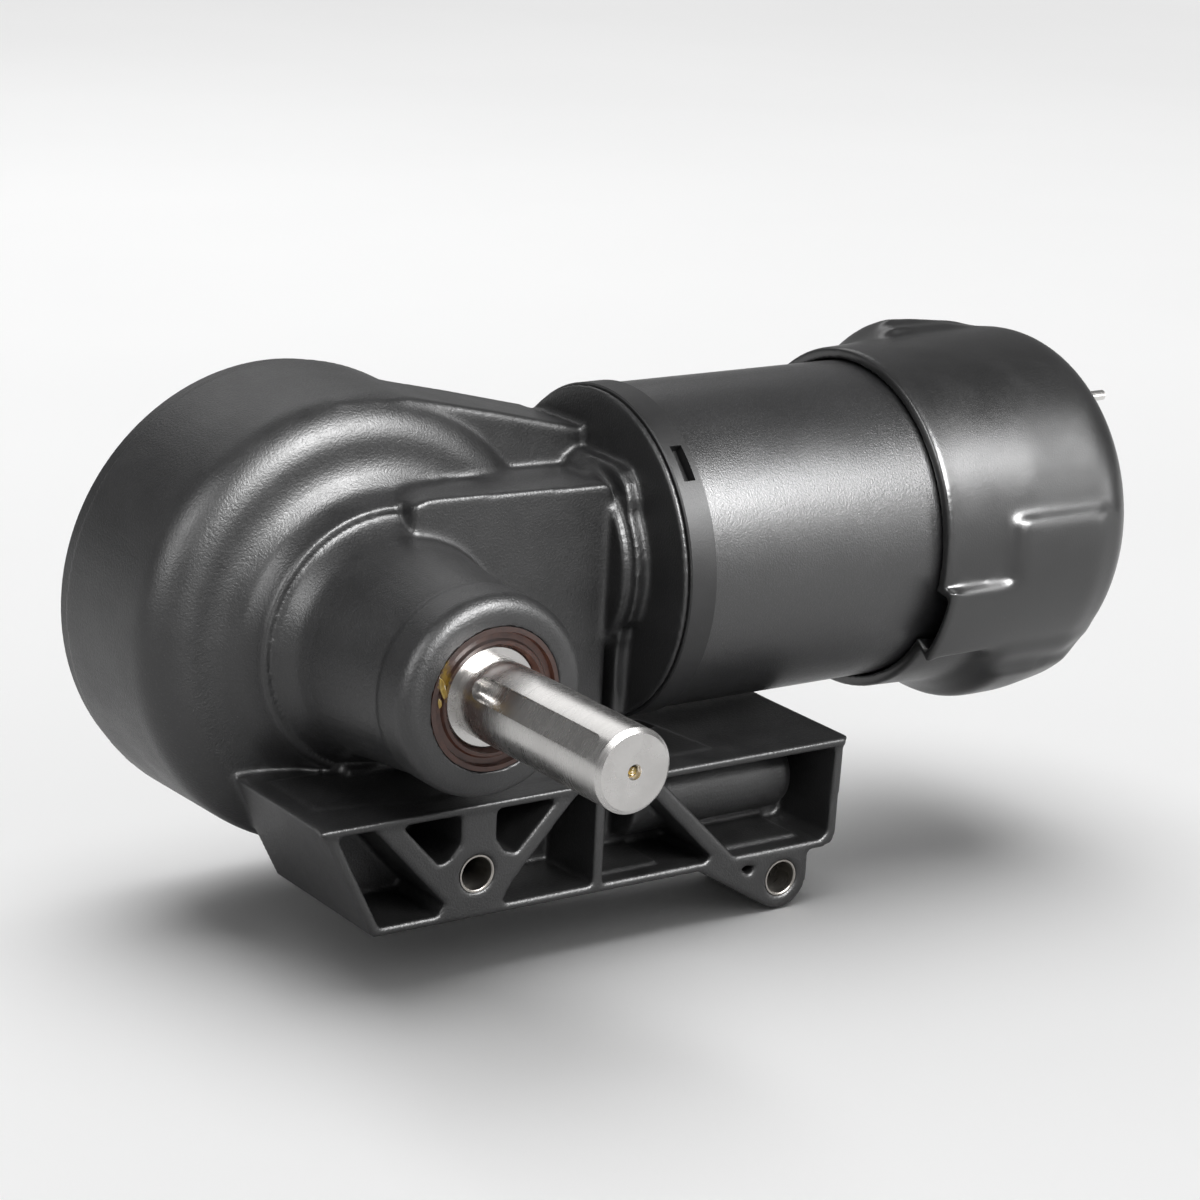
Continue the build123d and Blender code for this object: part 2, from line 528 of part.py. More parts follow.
# ================================================================ motor stator
with BuildPart() as adapter_ring:
    turn_x([(flange_x + 0.05, 14.0 + c), (flange_x + 0.05, 42.9), (flange_x + 0.4, 43.3), (tube_x0 - 0.35, 43.3), (tube_x0 - 0.05, 42.9), (tube_x0 - 0.05, 39.3),
            (tube_x0 + 3.0, 39.0), (tube_x0 + 3.0, 36.0), (tube_x0 + 1.8, 34.0), (tube_x0 + 1.8, 14.0 + c)])
    # window slot through the rim
    win_a = radians(136.0)
    with BuildSketch(Plane(origin=(72.2, motor_y + 43.3 * cos(win_a), motor_z + 43.3 * sin(win_a)), x_dir=(1, 0, 0), z_dir=(0, cos(win_a), sin(win_a)))):
        Rectangle(3.4, 10.2)
    extrude(amount=3.0, mode=Mode.SUBTRACT)
    extrude_depth = 3.4
    with BuildSketch(Plane(origin=(72.2, motor_y + 43.6 * cos(win_a), motor_z + 43.6 * sin(win_a)), x_dir=(1, 0, 0), z_dir=(0, -cos(win_a), -sin(win_a)))):
        Rectangle(3.4, 10.2)
    extrude(amount=extrude_depth, mode=Mode.SUBTRACT)
    with BuildSketch(plane_x(flange_x - 1)):
        with Locations((motor_y, motor_z)):
            with PolarLocations(24.0, 4, start_angle=45):
                Circle(2.4)
    extrude(amount=14.0, mode=Mode.SUBTRACT)
save(adapter_ring, "adapter_ring")

with BuildPart() as adapter_screws:
    with BuildSketch(plane_x(63.4)):
        with Locations((motor_y, motor_z)):
            with PolarLocations(24.0, 4, start_angle=45):
                Circle(2.1)
    extrude(amount=tube_x0 + 1.8 - 63.4)
    with BuildSketch(plane_x(tube_x0 + 1.8)):
        with Locations((motor_y, motor_z)):
            with PolarLocations(24.0, 4, start_angle=45):
                Circle(3.4)
    extrude(amount=2.0)
save(adapter_screws, "adapter_screws")

with BuildPart() as motor_tube:
    turn_x([(tube_x0, 39.4), (tube_x0, tube_r - 0.2), (tube_x0 + 0.3, tube_r), (tube_x1 - 0.3, tube_r), (tube_x1, tube_r - 0.3), (tube_x1, 39.4)])
save(motor_tube, "motor_tube")

with BuildPart() as magnets:
    with BuildSketch(plane_x(84.0)):
        with Locations((motor_y, motor_z)):
            Circle(39.3)
            Circle(34.4, mode=Mode.SUBTRACT)
            with PolarLocations(37.0, 4, start_angle=0):
                Rectangle(9.0, 12.0, mode=Mode.SUBTRACT)
    extrude(amount=56.0)
save(magnets, "magnets")

with BuildPart() as brush_plate:
    turn_x([(148.0, 17.5), (148.0, 38.9), (151.0, 38.9), (151.0, 17.5)])
    with BuildSketch(plane_x(151.0)):
        with Locations((motor_y + 25.0, motor_z), (motor_y - 25.0, motor_z)):
            Rectangle(15.0, 11.0)
    extrude(amount=9.4)
    with BuildSketch(plane_x(151.8)):
        with Locations((motor_y + 24.0, motor_z), (motor_y - 24.0, motor_z)):
            Rectangle(20.0, 7.0)
    extrude(amount=7.4, mode=Mode.SUBTRACT)
    for bolt_side in (1, -1):
        disc_x(2.0, 147.0, 152.0, cy=motor_y + bolt_side * 36.8, mode=Mode.SUBTRACT)
save(brush_plate, "brush_plate")

with BuildPart() as brushes:
    with BuildSketch(plane_x(152.0)):
        with Locations((motor_y + 19.4, motor_z), (motor_y - 19.4, motor_z)):
            Rectangle(10.0, 6.6)
    extrude(amount=7.0)
save(brushes, "brushes")

with BuildPart() as brush_springs:
    for side in (1, -1):
        for k in range(4):
            with BuildSketch(Plane(origin=(155.5, motor_y + side * (25.9 + 1.7 * k), motor_z), x_dir=(1, 0, 0), z_dir=(0, 1, 0))):
                Circle(2.7)
                Circle(1.9, mode=Mode.SUBTRACT)
            extrude(amount=0.9)
save(brush_springs, "brush_springs")

with BuildPart() as rear_end_bell:
    turn_x([(tube_x1 + 0.05, 38.0), (tube_x1 + 0.05, 42.2), (167.0, 42.2), (168.5, 40.5), (182.0, 40.5), (182.0, 36.0), (181.0, 18.0), (181.0, 13.0 + c),
            (170.6, 13.0 + c), (170.6, 11.0), (169.0, 11.0), (169.0, 17.0), (172.0, 36.0), (164.0, 38.0)])
    for bolt_side in (1, -1):
        disc_x(2.0, 160.0, 184.0, cy=motor_y + bolt_side * 36.8, mode=Mode.SUBTRACT)
save(rear_end_bell, "rear_end_bell")

with BuildPart() as through_bolts:
    with BuildSketch(plane_x(80.0)):
        with Locations((motor_y + 36.8, motor_z), (motor_y - 36.8, motor_z)):
            Circle(1.9)
    extrude(amount=84.0 + 8.0)
save(through_bolts, "through_bolts")

with BuildPart() as brake_plate:
    turn_x([(189.0 + 0.6, 12.0), (189.0 + 0.6, 33.0), (192.0, 33.0), (192.0, 12.0)])
save(brake_plate, "brake_plate")

with BuildPart() as brake_coil:
    turn_x([(192.6, 7.0), (192.6, 34.0), (200.4, 34.0), (200.4, 7.0)])
save(brake_coil, "brake_coil")

# ---------------------------------------------------------------- rear cap
def lobe_x(pts, a0, a1):
    """Swelling on a body of revolution about the motor axis, from a0 to a1 degrees (from +Y towards +Z)."""
    ca, sa = cos(radians(a0)), sin(radians(a0))
    with BuildSketch(Plane(origin=(0, motor_y, motor_z), x_dir=(1, 0, 0), z_dir=(0, -sa, ca))) as profile:
        with BuildLine():
            Polyline(*pts, close=True)
        make_face()
    revolve(profile.sketch, axis=Axis((0, motor_y, motor_z), (1, 0, 0)), revolution_arc=a1 - a0)


cap_x0, cap_x1 = 148.0, 215.0
cap_outer = [(cap_x0, 45.4), (cap_x0 + 0.8, 45.9), (cap_x0 + 8, 46.2), (cap_x0 + 30, 47.2), (200.5, 47.6)] + arc_pts(201.0, 33.6, 14.0, 86, 4, 9) + [(cap_x1, 0)]
channel_r = 49.4
with BuildPart() as rear_cap:
    turn_x([(cap_x0, 0)] + cap_outer)
    # raised side zone with an L-shaped upper edge; its lower leg runs to the rim as a cable channel
    lobe_x([(168.6, 40), (168.6, 46.9), (170.6, channel_r), (198.0, channel_r), (206.4, 47.4), (211.0, 43.5), (211.0, 40)], 169.5, 222.0)
    lobe_x([(cap_x0 + 0.2, 40), (cap_x0 + 0.2, channel_r - 0.7), (cap_x0 + 1.0, channel_r), (198.0, channel_r), (206.4, 47.4), (211.0, 43.5), (211.0, 40)], 190.0, 217.0)
    # lower lobe, with a ramp at its front end
    lobe_x([(168.0, 40), (168.0, 46.9), (175.0, 50.6), (198.0, 50.4), (208.0, 47.0), (211.0, 43.5), (211.0, 40)], 217.0, 300.0)
    lobe_x([(170.0, 40), (170.0, 47.2), (177.5, 52.9), (189.0, 52.9), (202.0, 51.0), (208.6, 46.8), (210.0, 43.5), (210.0, 40)], 226.0, 291.0)
    # upper lobe behind the crest, with a ramp at its front end
    lobe_x([(163.5, 40), (163.5, 46.4), (169.0, 49.6), (188.0, 49.4), (206.0, 46.6), (206.0, 40)], 22.0, 80.0)
    lobe_x([(164.5, 40), (164.5, 46.6), (171.0, 52.0), (181.0, 51.4), (195.0, 49.8), (206.0, 46.4), (206.0, 40)], 27.0, 75.0)
    # hollow
    turn_x([(cap_x0 - 1, 0), (cap_x0 - 1, 42.9), (cap_x1 - 14, 42.9), (cap_x1 - 2.8, 32.5), (cap_x1 - 2.8, 0)], mode=Mode.SUBTRACT)
    # the channel is open at the rim
    with BuildSketch(Plane(origin=(0, motor_y, motor_z), x_dir=(1, 0, 0), z_dir=(0, -sin(radians(193.0)), cos(radians(193.0))))):
        with BuildLine():
            Polyline((cap_x0 - 1, 40), (cap_x0 - 1, channel_r - 1.9), (164.0, channel_r - 1.9), (164.0, 40), close=True)
        make_face()
    revolve(axis=Axis((0, motor_y, motor_z), (1, 0, 0)), revolution_arc=21.0, mode=Mode.SUBTRACT)
    # bore of the stud
    stud_y, stud_z = 44.0, 43.0
    disc_x(1.4 + 0.15, cap_x1 - 20, cap_x1 + 1, cy=stud_y, cz=stud_z, mode=Mode.SUBTRACT)
save(rear_cap, "rear_cap")

with BuildPart() as cap_stud:
    turn_x([(182.1, 0), (182.1, 1.4), (222.6, 1.4), (223.0, 1.0), (223.0, 0)], cy=stud_y, cz=stud_z)
save(cap_stud, "cap_stud")
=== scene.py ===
import bpy, bmesh, json, math
import numpy as np
from mathutils import Matrix, Vector


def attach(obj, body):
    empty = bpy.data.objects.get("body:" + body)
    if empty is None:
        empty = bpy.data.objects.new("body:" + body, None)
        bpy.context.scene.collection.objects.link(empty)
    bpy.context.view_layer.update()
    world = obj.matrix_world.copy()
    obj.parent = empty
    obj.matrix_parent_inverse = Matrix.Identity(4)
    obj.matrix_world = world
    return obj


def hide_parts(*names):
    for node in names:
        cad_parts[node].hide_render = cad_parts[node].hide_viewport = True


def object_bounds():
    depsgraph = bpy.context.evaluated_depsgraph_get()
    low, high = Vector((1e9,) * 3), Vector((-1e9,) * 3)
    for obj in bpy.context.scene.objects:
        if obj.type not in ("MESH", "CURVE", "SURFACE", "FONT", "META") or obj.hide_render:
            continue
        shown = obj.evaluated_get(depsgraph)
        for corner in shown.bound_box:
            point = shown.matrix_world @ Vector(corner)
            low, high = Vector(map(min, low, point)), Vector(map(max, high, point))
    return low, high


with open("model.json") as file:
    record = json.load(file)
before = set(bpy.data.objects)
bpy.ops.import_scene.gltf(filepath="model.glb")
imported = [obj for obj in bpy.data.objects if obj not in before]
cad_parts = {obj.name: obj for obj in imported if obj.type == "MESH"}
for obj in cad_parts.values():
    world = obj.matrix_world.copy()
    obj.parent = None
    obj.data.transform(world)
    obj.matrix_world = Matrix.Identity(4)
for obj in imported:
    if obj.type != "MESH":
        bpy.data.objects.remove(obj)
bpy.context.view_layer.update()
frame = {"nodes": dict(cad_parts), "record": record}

N = frame["nodes"]
MM = 0.001

# ------------------------------------------------------------------ camera
CAM = dict(loc=(-0.40372, -0.62142, 0.24173), right=(0.828108, -0.558681, 0.045964), up=(0.120511, 0.257504, 0.958733), fwd=(0.547461, 0.788395, -0.280568))
cam_data = bpy.data.cameras.new("cam")
cam_data.sensor_width = 36.0
cam_data.lens = 36.0 * 3363.7 / 1200.0
cam_data.clip_start, cam_data.clip_end = 0.01, 100.0
cam = bpy.data.objects.new("cam", cam_data)
bpy.context.scene.collection.objects.link(cam)
R, U, F = (Vector(CAM[k]).normalized() for k in ("right", "up", "fwd"))
rot = Matrix((R, U, -F)).transposed().to_4x4()
cam.matrix_world = Matrix.Translation(Vector(CAM["loc"])) @ rot
bpy.context.scene.camera = cam


# ------------------------------------------------------------------ material helpers
class Nodes:
    def __init__(self, name):
        self.m = bpy.data.materials.new(name)
        self.m.use_nodes = True
        self.t = self.m.node_tree
        self.t.nodes.clear()
        self.out = self.t.nodes.new("ShaderNodeOutputMaterial")
        self.b = self.t.nodes.new("ShaderNodeBsdfPrincipled")
        self.t.links.new(self.b.outputs[0], self.out.inputs[0])
        tc = self.t.nodes.new("ShaderNodeTexCoord")
        self.co = tc.outputs["Object"]

    def link(self, a_, b_):
        self.t.links.new(a_, b_)

    def scaled(self, sx, sy, sz):
        n = self.t.nodes.new("ShaderNodeMapping")
        n.inputs["Scale"].default_value = (sx, sy, sz)
        self.link(self.co, n.inputs["Vector"])
        return n.outputs[0]

    def noise(self, scale, detail=2.0, rough=0.5, vec=None, distortion=0.0):
        n = self.t.nodes.new("ShaderNodeTexNoise")
        n.inputs["Scale"].default_value = scale
        n.inputs["Detail"].default_value = detail
        n.inputs["Roughness"].default_value = rough
        n.inputs["Distortion"].default_value = distortion
        self.link(vec or self.co, n.inputs["Vector"])
        return n.outputs["Fac"]

    def voronoi(self, scale, feature="F1", out="Distance"):
        n = self.t.nodes.new("ShaderNodeTexVoronoi")
        n.feature = feature
        n.inputs["Scale"].default_value = scale
        self.link(self.co, n.inputs["Vector"])
        return n.outputs[out]

    def rng(self, v, a0, a1, b0, b1):
        n = self.t.nodes.new("ShaderNodeMapRange")
        n.inputs["From Min"].default_value = a0
        n.inputs["From Max"].default_value = a1
        n.inputs["To Min"].default_value = b0
        n.inputs["To Max"].default_value = b1
        self.link(v, n.inputs["Value"])
        return n.outputs[0]

    def math(self, op, x, y=None):
        n = self.t.nodes.new("ShaderNodeMath")
        n.operation = op
        for i, v in enumerate((x, y)):
            if v is None:
                continue
            if isinstance(v, (int, float)):
                n.inputs[i].default_value = v
            else:
                self.link(v, n.inputs[i])
        return n.outputs[0]

    def mix(self, fac, c0, c1):
        n = self.t.nodes.new("ShaderNodeMix")
        n.data_type = "RGBA"
        self.link(fac, n.inputs[0])
        for i, c_ in ((6, c0), (7, c1)):
            if isinstance(c_, (tuple, list)):
                n.inputs[i].default_value = (*c_, 1.0)
            else:
                self.link(c_, n.inputs[i])
        return n.outputs[2]

    def bump(self, h, strength, dist, normal=None):
        n = self.t.nodes.new("ShaderNodeBump")
        n.inputs["Strength"].default_value = strength
        n.inputs["Distance"].default_value = dist
        self.link(h, n.inputs["Height"])
        if normal is not None:
            self.link(normal, n.inputs["Normal"])
        return n.outputs[0]

    def set(self, **kw):
        for k, v in kw.items():
            s = self.b.inputs[k.replace("_", " ")]
            if isinstance(v, (int, float)):
                s.default_value = v
            elif isinstance(v, (tuple, list)):
                s.default_value = (*v, 1.0)
            else:
                self.link(v, s)
        return self.m


def plastic(name, c0, c1, r0, r1, grain, g_strength, g_dist, spec=0.5, speck=None, ior=1.5):
    n = Nodes(name)
    big = n.noise(45.0, 4.0, 0.6)
    fine = n.noise(grain, 2.0, 0.65)
    col = n.mix(n.rng(big, 0.35, 0.65, 0.0, 1.0), c0, c1)
    if speck:
        sp = n.rng(n.noise(grain * 1.7, 1.0, 0.5), 0.60, 0.74, 0.0, 1.0)
        col = n.mix(sp, col, speck)
    rough = n.math("ADD", n.rng(n.noise(90.0, 3.0, 0.6), 0.3, 0.7, r0, r1), n.rng(fine, 0.3, 0.7, -0.04, 0.04))
    nb = n.bump(fine, g_strength, g_dist)
    nb = n.bump(n.noise(22.0, 2.0, 0.5), 0.06, 0.001, nb)
    return n.set(Base_Color=col, Roughness=rough, Normal=nb, Specular_IOR_Level=spec, IOR=ior)


def metal(name, c0, c1, r0, r1, streak=(1, 1, 1), s_scale=400.0, s_str=0.15, s_dist=0.00002, metallic=1.0, aniso=0.0):
    n = Nodes(name)
    big = n.noise(120.0, 5.0, 0.65)
    lines = n.noise(s_scale, 3.0, 0.7, vec=n.scaled(*streak))
    col = n.mix(n.rng(big, 0.3, 0.7, 0.0, 1.0), c0, c1)
    rough = n.math("ADD", n.rng(lines, 0.3, 0.7, r0, r1), n.rng(big, 0.3, 0.7, -0.03, 0.03))
    nb = n.bump(lines, s_str, s_dist)
    m = n.set(Base_Color=col, Roughness=rough, Normal=nb, Metallic=metallic)
    return m


HOUSING = plastic("housing_plastic", (0.0120, 0.0120, 0.0128), (0.0165, 0.0165, 0.0173), 0.40, 0.48, 1700.0, 0.62, 0.00018, 0.5, (0.032, 0.032, 0.034), 1.58)
CAP = plastic("cap_plastic", (0.0085, 0.0085, 0.0092), (0.0120, 0.0120, 0.0127), 0.31, 0.37, 2200.0, 0.32, 0.0001, 0.5, (0.018, 0.018, 0.019), 1.70)
RING = plastic("ring_plastic", (0.0120, 0.0120, 0.0128), (0.0160, 0.0160, 0.0168), 0.42, 0.50, 2600.0, 0.33, 0.0001, 0.5, (0.028, 0.028, 0.030))


def tube_material():
    """Semi-gloss black powder coat with a fine glitter in it."""
    n = Nodes("coated_tube")
    big = n.noise(60.0, 3.0, 0.5)
    cell = n.t.nodes.new("ShaderNodeTexVoronoi")
    cell.inputs["Scale"].default_value = 3800.0
    n.link(n.co, cell.inputs["Vector"])
    sep = n.t.nodes.new("ShaderNodeSeparateColor")
    n.link(cell.outputs["Color"], sep.inputs[0])
    spark = n.rng(sep.outputs[0], 0.80, 1.0, 0.0, 1.0)
    col = n.mix(spark, n.mix(n.rng(big, 0.35, 0.65, 0, 1), (0.0085, 0.0085, 0.0095), (0.0115, 0.0115, 0.0125)), (0.030, 0.030, 0.033))
    rough = n.math("ADD", n.rng(sep.outputs[1], 0.0, 1.0, 0.29, 0.41), n.rng(big, 0.3, 0.7, -0.015, 0.02))
    nb = n.bump(n.noise(2100.0, 2.0, 0.7), 0.65, 0.00012)
    return n.set(Base_Color=col, Roughness=rough, Normal=nb, Metallic=0.0, IOR=1.78, Specular_IOR_Level=0.5, Coat_Weight=0.10, Coat_Roughness=0.28)


TUBE = tube_material()
SHAFT = metal("ground_steel", (0.45, 0.44, 0.43), (0.52, 0.51, 0.50), 0.24, 0.29, (1, 40, 1), 60.0, 0.05, 0.00001)
SHAFT_X = metal("ground_steel_x", (0.60, 0.59, 0.575), (0.70, 0.69, 0.675), 0.24, 0.38, (40, 1, 1), 60.0, 0.2, 0.00002)
SLEEVE = metal("sleeve_steel", (0.27, 0.255, 0.235), (0.38, 0.36, 0.335), 0.28, 0.45, (1, 30, 1), 80.0, 0.35, 0.00004)
SCREW = metal("screw_steel", (0.42, 0.42, 0.41), (0.56, 0.56, 0.55), 0.28, 0.42, (1, 1, 1), 900.0, 0.2, 0.00003)
GEAR = metal("gear_steel", (0.30, 0.30, 0.31), (0.42, 0.42, 0.43), 0.26, 0.42, (1, 12, 1), 300.0, 0.25, 0.00003)
SPRING = metal("spring_steel", (0.20, 0.20, 0.215), (0.30, 0.30, 0.315), 0.3, 0.45)
BEARING = metal("bearing_steel", (0.62, 0.62, 0.64), (0.72, 0.72, 0.74), 0.12, 0.22, (1, 20, 1), 200.0, 0.1, 0.00001)
BRONZE = metal("bronze", (0.50, 0.33, 0.14), (0.62, 0.43, 0.21), 0.28, 0.42, (1, 1, 1), 500.0, 0.2, 0.00003)
COPPER = metal("copper", (0.62, 0.34, 0.22), (0.74, 0.43, 0.28), 0.25, 0.4, (30, 1, 1), 300.0, 0.2, 0.00003)
LAM = metal("lamination", (0.22, 0.22, 0.23), (0.32, 0.32, 0.33), 0.35, 0.5, (60, 1, 1), 60.0, 0.6, 0.00006)
ALLOY = metal("cast_alloy", (0.50, 0.50, 0.51), (0.60, 0.60, 0.61), 0.35, 0.5, (1, 1, 1), 1200.0, 0.4, 0.00008)
PIN = metal("pin_steel", (0.66, 0.65, 0.63), (0.76, 0.75, 0.73), 0.16, 0.28, (40, 1, 1), 60.0, 0.2, 0.00002)
MAGNET = plastic("magnet", (0.06, 0.06, 0.065), (0.09, 0.09, 0.095), 0.5, 0.6, 1500.0, 0.3, 0.0001)
BOARD = plastic("brush_board", (0.20, 0.13, 0.06), (0.26, 0.17, 0.09), 0.4, 0.5, 1500.0, 0.2, 0.00005)
CARBON = plastic("carbon", (0.03, 0.03, 0.03), (0.05, 0.05, 0.05), 0.45, 0.6, 2500.0, 0.3, 0.00005)
FRICTION = plastic("friction", (0.10, 0.085, 0.07), (0.15, 0.13, 0.11), 0.7, 0.85, 1500.0, 0.5, 0.0001)
BRAKE = plastic("brake_body", (0.05, 0.05, 0.055), (0.07, 0.07, 0.075), 0.35, 0.45, 900.0, 0.15, 0.00005)
GASKET = plastic("gasket", (0.03, 0.03, 0.03), (0.045, 0.045, 0.045), 0.7, 0.8, 1500.0, 0.3, 0.00005)
WINDING = metal("winding", (0.42, 0.16, 0.06), (0.55, 0.24, 0.10), 0.25, 0.4, (1, 1, 1), 1300.0, 0.8, 0.0002)


def seal_material():
    """Brown fluoroelastomer, with a wipe of old amber grease on its left side."""
    n = Nodes("seal_rubber")
    base = n.mix(n.rng(n.noise(300.0, 4.0, 0.6), 0.35, 0.65, 0, 1), (0.050, 0.018, 0.012), (0.085, 0.032, 0.020))
    sep = n.t.nodes.new("ShaderNodeSeparateXYZ")
    n.link(n.co, sep.inputs[0])
    dx = n.math("ADD", sep.outputs[0], 0.0138)
    dz = n.math("SUBTRACT", sep.outputs[2], 0.0065)
    d = n.math("POWER", n.math("ADD", n.math("MULTIPLY", dx, dx), n.math("MULTIPLY", n.math("MULTIPLY", dz, dz), 0.22)), 0.5)
    d = n.math("ADD", d, n.rng(n.noise(500.0, 3.0, 0.6), 0.2, 0.8, -0.0016, 0.0016))
    g = n.rng(d, 0.0008, 0.0022, 1.0, 0.0)
    col = n.mix(g, base, (0.42, 0.27, 0.05))
    rough = n.rng(g, 0.0, 1.0, 0.36, 0.16)
    nb = n.bump(n.noise(1800.0, 2.0, 0.6), 0.25, 0.00006)
    return n.set(Base_Color=col, Roughness=rough, Normal=nb, Specular_IOR_Level=0.5)


SEAL = seal_material()

MATS = {
    "housing_plastic": HOUSING, "gasket": GASKET, "screw_steel": SCREW, "sleeve_steel": SLEEVE, "ground_steel": SHAFT, "gear_steel": GEAR,
    "spring_steel": SPRING, "bearing_steel": BEARING, "seal_rubber": SEAL, "bronze": BRONZE, "lamination": LAM, "winding": WINDING, "copper": COPPER,
    "friction": FRICTION, "ring_plastic": RING, "coated_tube": TUBE, "magnet": MAGNET, "brush_board": BOARD, "carbon": CARBON, "cast_alloy": ALLOY,
    "brake_body": BRAKE, "cap_plastic": CAP, "pin_steel": PIN,
}
for sp in frame["record"]["subparts"]:
    o = N[sp["node"]]
    m = MATS[sp["material_slot"]]
    o.data.materials.clear()
    o.data.materials.append(m)
N["armature_shaft"].data.materials.clear()
N["armature_shaft"].data.materials.append(SHAFT_X)


# ------------------------------------------------------------------ moulded shells with soft blends
def moulded(src, name, voxel, weight, rounds, back, base_rounds, body, mat):
    """A moulded skin over a CAD node: fine even mesh, with edges eased everywhere and corners blended where weight says."""
    me = N[src].data.copy()
    o = bpy.data.objects.new(name, me)
    bpy.context.scene.collection.objects.link(o)
    r = o.modifiers.new("r", "REMESH")
    r.mode = "VOXEL"
    r.voxel_size = voxel
    r.adaptivity = 0.0
    dg = bpy.context.evaluated_depsgraph_get()
    ev = bpy.data.meshes.new_from_object(o.evaluated_get(dg))
    o.modifiers.clear()
    o.data = ev
    n = len(ev.vertices)
    v = np.empty(n * 3, np.float64)
    ev.vertices.foreach_get("co", v)
    v = v.reshape(-1, 3)
    ed = np.empty(len(ev.edges) * 2, np.int64)
    ev.edges.foreach_get("vertices", ed)
    ed = ed.reshape(-1, 2)
    i = np.concatenate([ed[:, 0], ed[:, 1]])
    j = np.concatenate([ed[:, 1], ed[:, 0]])
    deg = np.maximum(np.bincount(i, minlength=n), 1)
    w0 = weight(v)

    def lap(p):
        q = np.empty_like(p)
        for k in range(3):
            q[:, k] = np.bincount(i, weights=p[j, k], minlength=n) / deg
        return q - p

    for _ in range(rounds):
        v = v + (0.5 * w0)[:, None] * lap(v)
        v = v - (back * w0)[:, None] * lap(v)
    for _ in range(base_rounds):
        v = v + 0.5 * lap(v)
        v = v - 0.40 * lap(v)
    ev.vertices.foreach_set("co", v.astype(np.float32).ravel())
    ev.polygons.foreach_set("use_smooth", np.ones(len(ev.polygons), bool))
    ev.update()
    ev.materials.clear()
    ev.materials.append(mat)
    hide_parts(src)
    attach(o, body)
    return o


def smoothstep(x, x0, x1):
    t = np.clip((x - x0) / (x1 - x0), 0, 1)
    return t * t * (3 - 2 * t)


def housing_weight(v):
    x, y, z = v[:, 0] * 1000, v[:, 1] * 1000, v[:, 2] * 1000
    r = np.hypot(x, z)
    w = smoothstep(y, 40.0, 46.0) * smoothstep(z, -31.0, -24.0)          # body above the foot plate
    w *= 1 - smoothstep(y, 98.0, 103.0)                                   # the rear rim stays crisp
    w *= 1 - smoothstep(x, 63.5, 66.5)                                    # so does the motor face
    ring = np.exp(-((r - 33.5) / 2.2) ** 2) * np.exp(-((y - 50.5) / 3.0) ** 2)
    w *= 1 - 0.9 * ring
    side = smoothstep(-z, 28.0, 34.0) * smoothstep(y, 64.5, 68.0)        # drum below the plate
    return np.clip(w + 0.6 * side * (1 - smoothstep(y, 98, 103)), 0, 1)


housing_skin = moulded("gear_housing", "gear_housing_skin", (0.00068), housing_weight, (80), 0.455, 4, "housing", HOUSING)


def cap_weight(v):
    x = v[:, 0] * 1000
    return smoothstep(x, 149.5, 153.0)


cap_skin = moulded("rear_cap", "rear_cap_skin", (0.00062), cap_weight, (190), 0.40, 3, "housing", CAP)

# fine eased edges on the turned and cut parts
for nm, wd in (("output_shaft", 0.00015), ("adapter_ring", 0.0003), ("motor_tube", 0.0003), ("foot_sleeve", 0.00015), ("ear_sleeve", 0.00015), ("output_seal", 0.0001),
               ("rear_cover", 0.0005), ("cover_screws", 0.0002), ("cap_stud", 0.0002)):
    b = N[nm].modifiers.new("ease", "BEVEL")
    b.width = wd
    b.segments = 2
    b.limit_method = "ANGLE"
    b.angle_limit = math.radians(35)
    b.harden_normals = True

# ------------------------------------------------------------------ amber grease
def grease_material():
    n = Nodes("grease")
    col = n.mix(n.rng(n.noise(700.0, 3.0, 0.6), 0.35, 0.65, 0, 1), (0.36, 0.22, 0.035), (0.55, 0.38, 0.07))
    nb = n.bump(n.noise(1500.0, 2.0, 0.5), 0.3, 0.00008)
    return n.set(Base_Color=col, Roughness=n.rng(n.noise(900.0, 2.0, 0.5), 0.3, 0.7, 0.12, 0.24), Normal=nb, Coat_Weight=0.5, Coat_Roughness=0.06)


GREASE = grease_material()


def dab(name, body, centre, size, seed, turn=0.0):
    """A lumpy dab of grease, centre and half sizes in millimetres."""
    bm = bmesh.new()
    bmesh.ops.create_icosphere(bm, subdivisions=4, radius=1.0)
    rnd = np.random.RandomState(seed)
    k = rnd.uniform(2.0, 5.0, (6, 3)) * rnd.choice([-1, 1], (6, 3))
    ph = rnd.uniform(0, 6.28, 6)
    ct, st = math.cos(turn), math.sin(turn)
    for vert in bm.verts:
        c0 = np.array(vert.co)
        f = 1.0 + 0.07 * float(np.sum(np.sin(k @ c0 + ph)))
        x, y, z = c0 * f * np.array(size)
        vert.co = Vector(((centre[0] + ct * x - st * z) * MM, (centre[1] + y) * MM, (centre[2] + st * x + ct * z) * MM))
    me_ = bpy.data.meshes.new(name)
    bm.to_mesh(me_)
    bm.free()
    me_.polygons.foreach_set("use_smooth", np.ones(len(me_.polygons), bool))
    me_.materials.append(GREASE)
    o = bpy.data.objects.new(name, me_)
    bpy.context.scene.collection.objects.link(o)
    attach(o, body)
    return o


dab("grease_centre", "output", (0.0, -55.2, 0.0), (0.95, 0.9, 0.95), 3)
dab("grease_seal_a", "housing", (-14.6, 0.15, 4.6), (0.75, 0.22, 2.6), 5, 0.28)
dab("grease_seal_b", "housing", (-15.3, 0.15, 1.2), (0.5, 0.18, 1.1), 7, 0.1)

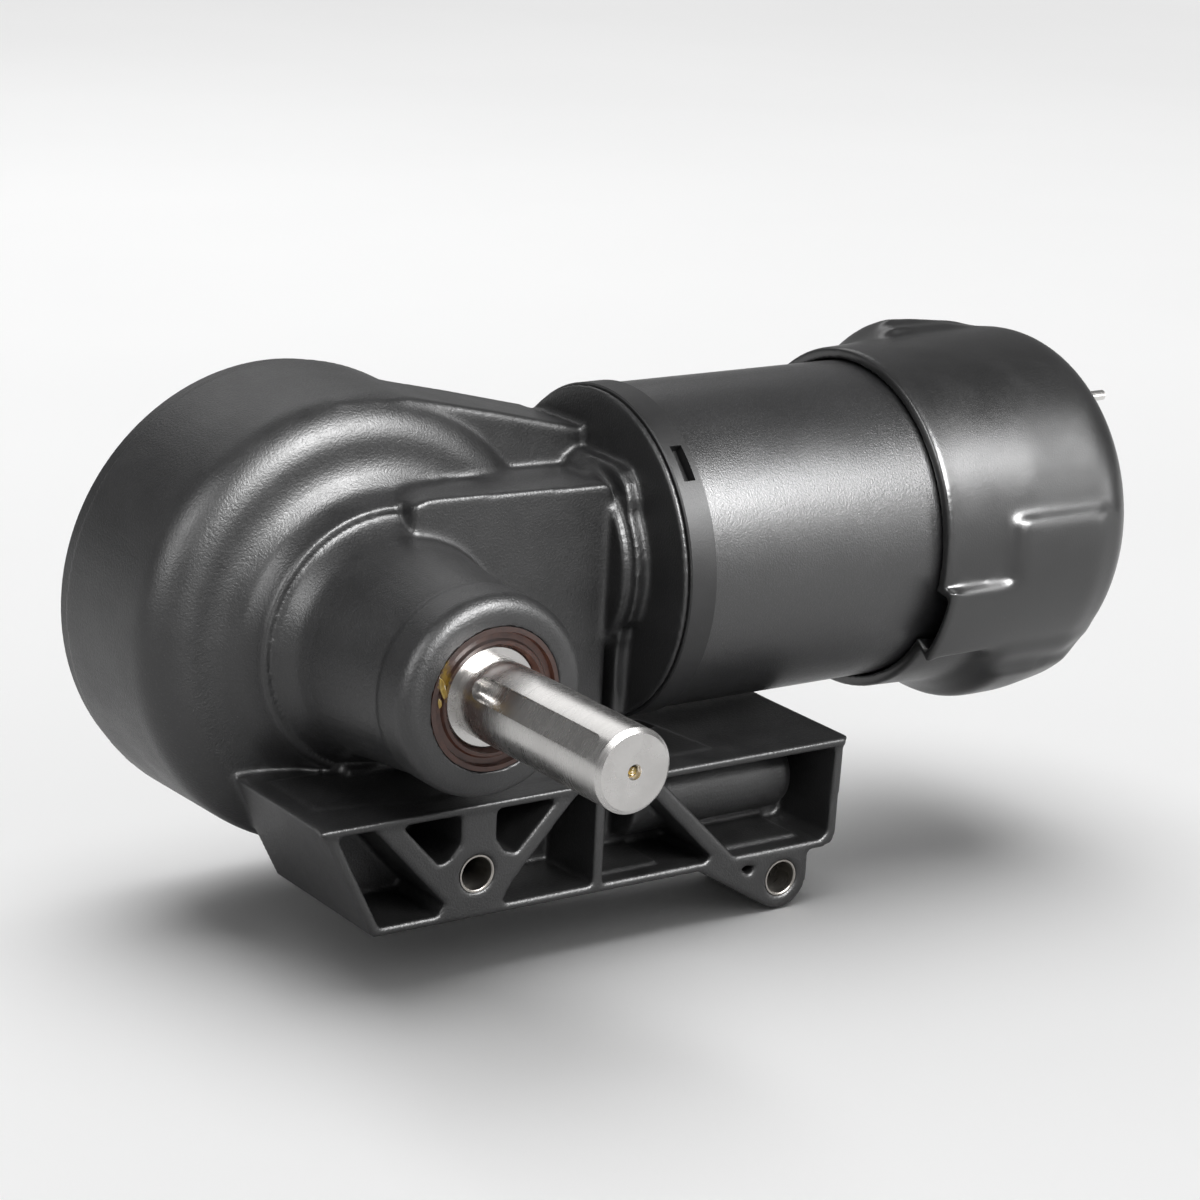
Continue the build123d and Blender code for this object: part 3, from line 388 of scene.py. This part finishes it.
# ------------------------------------------------------------------ floor and light
lo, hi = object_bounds()
me = bpy.data.meshes.new("floor")
zf = lo[2] - 0.0003
me.from_pydata([(-12, -12, zf), (12, -12, zf), (12, 12, zf), (-12, 12, zf)], [], [(0, 1, 2, 3)])
floor = bpy.data.objects.new("floor", me)
bpy.context.scene.collection.objects.link(floor)
fm = Nodes("floor_paper")
fm.set(Base_Color=fm.mix(fm.rng(fm.noise(3.0, 3.0, 0.5), 0.3, 0.7, 0, 1), (0.90, 0.90, 0.90), (0.92, 0.92, 0.92)), Roughness=0.9, Specular_IOR_Level=0.1)
me.materials.append(fm.m)


def area(name, loc, target, size, power, size_y=None, color=(1, 1, 1)):
    d = bpy.data.lights.new(name, "AREA")
    d.shape = "RECTANGLE"
    d.size = size
    d.size_y = size_y or size
    d.energy = power
    d.color = color
    o = bpy.data.objects.new(name, d)
    bpy.context.scene.collection.objects.link(o)
    o.location = loc
    o.rotation_euler = (Vector(target) - Vector(loc)).to_track_quat("-Z", "Y").to_euler()
    return o


T = (0.08, 0.05, 0.0)
key = area("key", (0.32, -1.10, 0.98), T, 1.15, 100.0, 0.62)
left = area("left", (-1.25, -0.10, 0.80), T, 0.6, 16.0, 0.6)
back = area("back", (0.30, 1.20, 0.95), T, 1.2, 3.0, 0.4)
right = area("low_right", (1.3, -0.9, 0.25), T, 0.4, 3.5, 0.5)
for soft in (key, left, right):
    soft.visible_diffuse = False
sun = bpy.data.lights.new("overhead", "SUN")
sun.energy = 2.2
sun.angle = math.radians(60.0)
sun_o = bpy.data.objects.new("overhead", sun)
bpy.context.scene.collection.objects.link(sun_o)
sun_o.rotation_euler = (math.radians(-14.0), math.radians(6.0), 0.0)
sun_o.visible_glossy = False

w = bpy.data.worlds.new("studio")
bpy.context.scene.world = w
w.use_nodes = True
bg = w.node_tree.nodes["Background"]
bg.inputs[0].default_value = (1.0, 1.0, 1.0, 1.0)
bg.inputs[1].default_value = 0.22

view = bpy.context.scene.view_settings
view.view_transform = "Standard"
